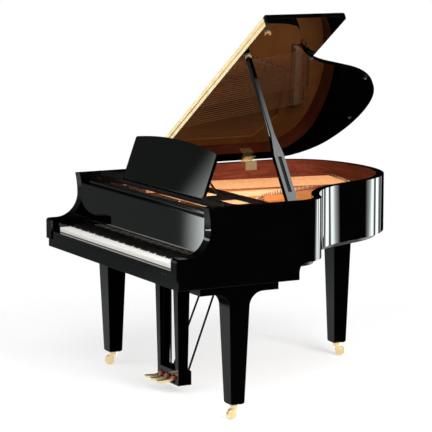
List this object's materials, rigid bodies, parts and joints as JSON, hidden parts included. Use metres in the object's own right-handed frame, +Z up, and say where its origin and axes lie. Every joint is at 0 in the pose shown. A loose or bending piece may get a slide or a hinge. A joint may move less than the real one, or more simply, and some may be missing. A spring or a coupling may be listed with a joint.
{
  "type": "grand piano",
  "caption": "Polished black grand piano on tapered legs with casters: propped lid, folded front flap, music desk, keyboard, strung iron plate and pedal lyre.",
  "frame": {"origin": "floor level, under the centre of the box round the open piano", "axes": "+X to the treble side, +Y from the keyboard to the tail, +Z up"},
  "size_m": [1.4536, 1.5972, 1.8146],
  "materials": {
    "polished_black": "polished",
    "satin_black": "satin",
    "spruce": "satin",
    "beech": "satin",
    "plate_gold": "satin",
    "brass": "polished",
    "steel": "satin",
    "copper": "satin",
    "key_white": "polished",
    "key_black": "satin",
    "felt": "matte"
  },
  "bodies": {
    "case": {"outer_rim": "polished_black", "inner_rim": "beech", "keybed": "polished_black", "key_slip": "polished_black", "key_blocks": "polished_black", "stretcher": "polished_black", "key_frame": "beech", "action_rail": "beech", "belly_rail": "beech", "back_beams": "beech", "soundboard": "spruce", "soundboard_ribs": "spruce", "bridges": "beech", "iron_plate": "plate_gold", "pinblock": "beech", "tuning_pins": "steel", "treble_strings": "steel", "bass_strings": "copper", "legs": "polished_black", "caster_sockets": "brass", "pedal_lyre": "polished_black", "lyre_braces": "satin_black", "desk_rails": "satin_black", "rim_fittings": "brass"},
    "hammers": {"hammers": "felt"},
    "dampers": {"dampers": "satin_black"},
    "fallboard": {"fallboard": "polished_black"},
    "desk_frame": {"desk_frame": "satin_black"},
    "music_desk": {"music_desk": "polished_black"},
    "desk_stays": {"desk_stays": "satin_black"},
    "lid": {"lid_main": "polished_black", "lid_fittings": "brass"},
    "flap": {"lid_flap": "polished_black", "flap_hinge_leaf": "brass"},
    "prop": {"lid_prop": "polished_black", "half_prop": "satin_black"},
    "pedal_left": {"pedal_left": "brass"},
    "pedal_rod_left": {"pedal_rod_left": "satin_black"},
    "pedal_middle": {"pedal_middle": "brass"},
    "pedal_rod_middle": {"pedal_rod_middle": "satin_black"},
    "pedal_right": {"pedal_right": "brass"},
    "pedal_rod_right": {"pedal_rod_right": "satin_black"},
    "caster_fork_front_left": {"caster_fork_front_left": "brass"},
    "caster_wheel_front_left": {"caster_wheel_front_left": "brass"},
    "caster_fork_front_right": {"caster_fork_front_right": "brass"},
    "caster_wheel_front_right": {"caster_wheel_front_right": "brass"},
    "caster_fork_rear": {"caster_fork_rear": "brass"},
    "caster_wheel_rear": {"caster_wheel_rear": "brass"},
    "keys_c": {"keys_c": "key_white"},
    "keys_c_sharp": {"keys_c_sharp": "key_black"},
    "keys_d": {"keys_d": "key_white"},
    "keys_d_sharp": {"keys_d_sharp": "key_black"},
    "keys_e": {"keys_e": "key_white"},
    "keys_f": {"keys_f": "key_white"},
    "keys_f_sharp": {"keys_f_sharp": "key_black"},
    "keys_g": {"keys_g": "key_white"},
    "keys_g_sharp": {"keys_g_sharp": "key_black"},
    "keys_a": {"keys_a": "key_white"},
    "keys_a_sharp": {"keys_a_sharp": "key_black"},
    "keys_b": {"keys_b": "key_white"}
  },
  "joints": [
    {"name": "lid_hinge", "type": "hinge", "parent": "case", "child": "lid", "pos_m": [-0.70517, 0.10139, 0.987], "axis": [0, -1, 0], "range_deg": [0, 20]},
    {"name": "flap_fold", "type": "hinge", "parent": "lid", "child": "flap", "pos_m": [-0.11578, -0.21861, 1.39956], "axis": [0.8387, 0, 0.5446], "range_deg": [0, 180]},
    {"name": "prop_swing", "type": "hinge", "parent": "case", "child": "prop", "pos_m": [0.66883, -0.17961, 0.972], "axis": [0, -1, 0], "range_deg": [0, 56.5]},
    {"name": "desk_slide", "type": "slide", "parent": "case", "child": "desk_frame", "axis": [0, 1, 0], "range_m": [0, 0.05]},
    {"name": "desk_tilt", "type": "hinge", "parent": "desk_frame", "child": "music_desk", "pos_m": [0.01383, -0.50561, 0.9844], "axis": [1, 0, 0], "range_deg": [-70, 0]},
    {"name": "stay_swing", "type": "hinge", "parent": "desk_frame", "child": "desk_stays", "pos_m": [0.01383, -0.37561, 0.968], "axis": [1, 0, 0], "range_deg": [-125.2, 0]},
    {"name": "fallboard_swing", "type": "hinge", "parent": "case", "child": "fallboard", "pos_m": [0.01383, -0.62261, 0.768], "axis": [1, 0, 0], "range_deg": [0, 91]},
    {"name": "hammer_swing", "type": "hinge", "parent": "case", "child": "hammers", "pos_m": [0.01383, -0.46161, 0.822], "axis": [1, 0, 0], "range_deg": [0, 17.5]},
    {"name": "pedal_press_left", "type": "hinge", "parent": "case", "child": "pedal_left", "pos_m": [-0.05217, -0.45461, 0.074], "axis": [1, 0, 0], "range_deg": [0, 9], "stiffness_Nm_per_rad": 12, "springref_deg": -8.59},
    {"name": "rod_lift_left", "type": "slide", "parent": "case", "child": "pedal_rod_left", "axis": [0, 0, 1], "range_m": [0, 0.005]},
    {"name": "pedal_press_middle", "type": "hinge", "parent": "case", "child": "pedal_middle", "pos_m": [0.01383, -0.45461, 0.074], "axis": [1, 0, 0], "range_deg": [0, 9], "stiffness_Nm_per_rad": 12, "springref_deg": -8.59},
    {"name": "rod_lift_middle", "type": "slide", "parent": "case", "child": "pedal_rod_middle", "axis": [0, 0, 1], "range_m": [0, 0.005]},
    {"name": "pedal_press_right", "type": "hinge", "parent": "case", "child": "pedal_right", "pos_m": [0.07983, -0.45461, 0.074], "axis": [1, 0, 0], "range_deg": [0, 9], "stiffness_Nm_per_rad": 12, "springref_deg": -8.59},
    {"name": "rod_lift_right", "type": "slide", "parent": "case", "child": "pedal_rod_right", "axis": [0, 0, 1], "range_m": [0, 0.005]},
    {"name": "damper_lift", "type": "slide", "parent": "case", "child": "dampers", "axis": [0, 0, 1], "range_m": [0, 0.0065]},
    {"name": "swivel_front_left", "type": "hinge", "parent": "case", "child": "caster_fork_front_left", "pos_m": [-0.62717, -0.46961, 0.06], "axis": [0, 0, 1], "continuous": true},
    {"name": "roll_front_left", "type": "hinge", "parent": "caster_fork_front_left", "child": "caster_wheel_front_left", "pos_m": [-0.63567, -0.48434, 0.025], "axis": [0.866, -0.5, 0], "continuous": true},
    {"name": "swivel_front_right", "type": "hinge", "parent": "case", "child": "caster_fork_front_right", "pos_m": [0.65483, -0.46961, 0.06], "axis": [0, 0, 1], "continuous": true},
    {"name": "roll_front_right", "type": "hinge", "parent": "caster_fork_front_right", "child": "caster_wheel_front_right", "pos_m": [0.65836, -0.48624, 0.025], "axis": [0.9781, 0.2079, 0], "continuous": true},
    {"name": "swivel_rear", "type": "hinge", "parent": "case", "child": "caster_fork_rear", "pos_m": [-0.28417, 0.64661, 0.06], "axis": [0, 0, 1], "continuous": true},
    {"name": "roll_rear", "type": "hinge", "parent": "caster_fork_rear", "child": "caster_wheel_rear", "pos_m": [-0.27567, 0.66134, 0.025], "axis": [-0.866, 0.5, 0], "continuous": true},
    {"name": "press_c", "type": "hinge", "parent": "case", "child": "keys_c", "pos_m": [0.01383, -0.54161, 0.709], "axis": [1, 0, 0], "range_deg": [0, 2.6], "stiffness_Nm_per_rad": 8, "springref_deg": -6.88},
    {"name": "press_c_sharp", "type": "hinge", "parent": "case", "child": "keys_c_sharp", "pos_m": [0.01383, -0.54161, 0.709], "axis": [1, 0, 0], "range_deg": [0, 2.6], "stiffness_Nm_per_rad": 8, "springref_deg": -6.88},
    {"name": "press_d", "type": "hinge", "parent": "case", "child": "keys_d", "pos_m": [0.01383, -0.54161, 0.709], "axis": [1, 0, 0], "range_deg": [0, 2.6], "stiffness_Nm_per_rad": 8, "springref_deg": -6.88},
    {"name": "press_d_sharp", "type": "hinge", "parent": "case", "child": "keys_d_sharp", "pos_m": [0.01383, -0.54161, 0.709], "axis": [1, 0, 0], "range_deg": [0, 2.6], "stiffness_Nm_per_rad": 8, "springref_deg": -6.88},
    {"name": "press_e", "type": "hinge", "parent": "case", "child": "keys_e", "pos_m": [0.01383, -0.54161, 0.709], "axis": [1, 0, 0], "range_deg": [0, 2.6], "stiffness_Nm_per_rad": 8, "springref_deg": -6.88},
    {"name": "press_f", "type": "hinge", "parent": "case", "child": "keys_f", "pos_m": [0.01383, -0.54161, 0.709], "axis": [1, 0, 0], "range_deg": [0, 2.6], "stiffness_Nm_per_rad": 8, "springref_deg": -6.88},
    {"name": "press_f_sharp", "type": "hinge", "parent": "case", "child": "keys_f_sharp", "pos_m": [0.01383, -0.54161, 0.709], "axis": [1, 0, 0], "range_deg": [0, 2.6], "stiffness_Nm_per_rad": 8, "springref_deg": -6.88},
    {"name": "press_g", "type": "hinge", "parent": "case", "child": "keys_g", "pos_m": [0.01383, -0.54161, 0.709], "axis": [1, 0, 0], "range_deg": [0, 2.6], "stiffness_Nm_per_rad": 8, "springref_deg": -6.88},
    {"name": "press_g_sharp", "type": "hinge", "parent": "case", "child": "keys_g_sharp", "pos_m": [0.01383, -0.54161, 0.709], "axis": [1, 0, 0], "range_deg": [0, 2.6], "stiffness_Nm_per_rad": 8, "springref_deg": -6.88},
    {"name": "press_a", "type": "hinge", "parent": "case", "child": "keys_a", "pos_m": [0.01383, -0.54161, 0.709], "axis": [1, 0, 0], "range_deg": [0, 2.6], "stiffness_Nm_per_rad": 8, "springref_deg": -6.88},
    {"name": "press_a_sharp", "type": "hinge", "parent": "case", "child": "keys_a_sharp", "pos_m": [0.01383, -0.54161, 0.709], "axis": [1, 0, 0], "range_deg": [0, 2.6], "stiffness_Nm_per_rad": 8, "springref_deg": -6.88},
    {"name": "press_b", "type": "hinge", "parent": "case", "child": "keys_b", "pos_m": [0.01383, -0.54161, 0.709], "axis": [1, 0, 0], "range_deg": [0, 2.6], "stiffness_Nm_per_rad": 8, "springref_deg": -6.88}
  ],
  "couplings": [
    {"joint": "stay_swing", "follows": "desk_tilt", "ratio": 1.788},
    {"joint": "rod_lift_left", "follows": "pedal_press_left", "m_per_rad": 0.028},
    {"joint": "rod_lift_middle", "follows": "pedal_press_middle", "m_per_rad": 0.028},
    {"joint": "rod_lift_right", "follows": "pedal_press_right", "m_per_rad": 0.028},
    {"joint": "damper_lift", "follows": "pedal_press_right", "m_per_rad": 0.04}
  ]
}
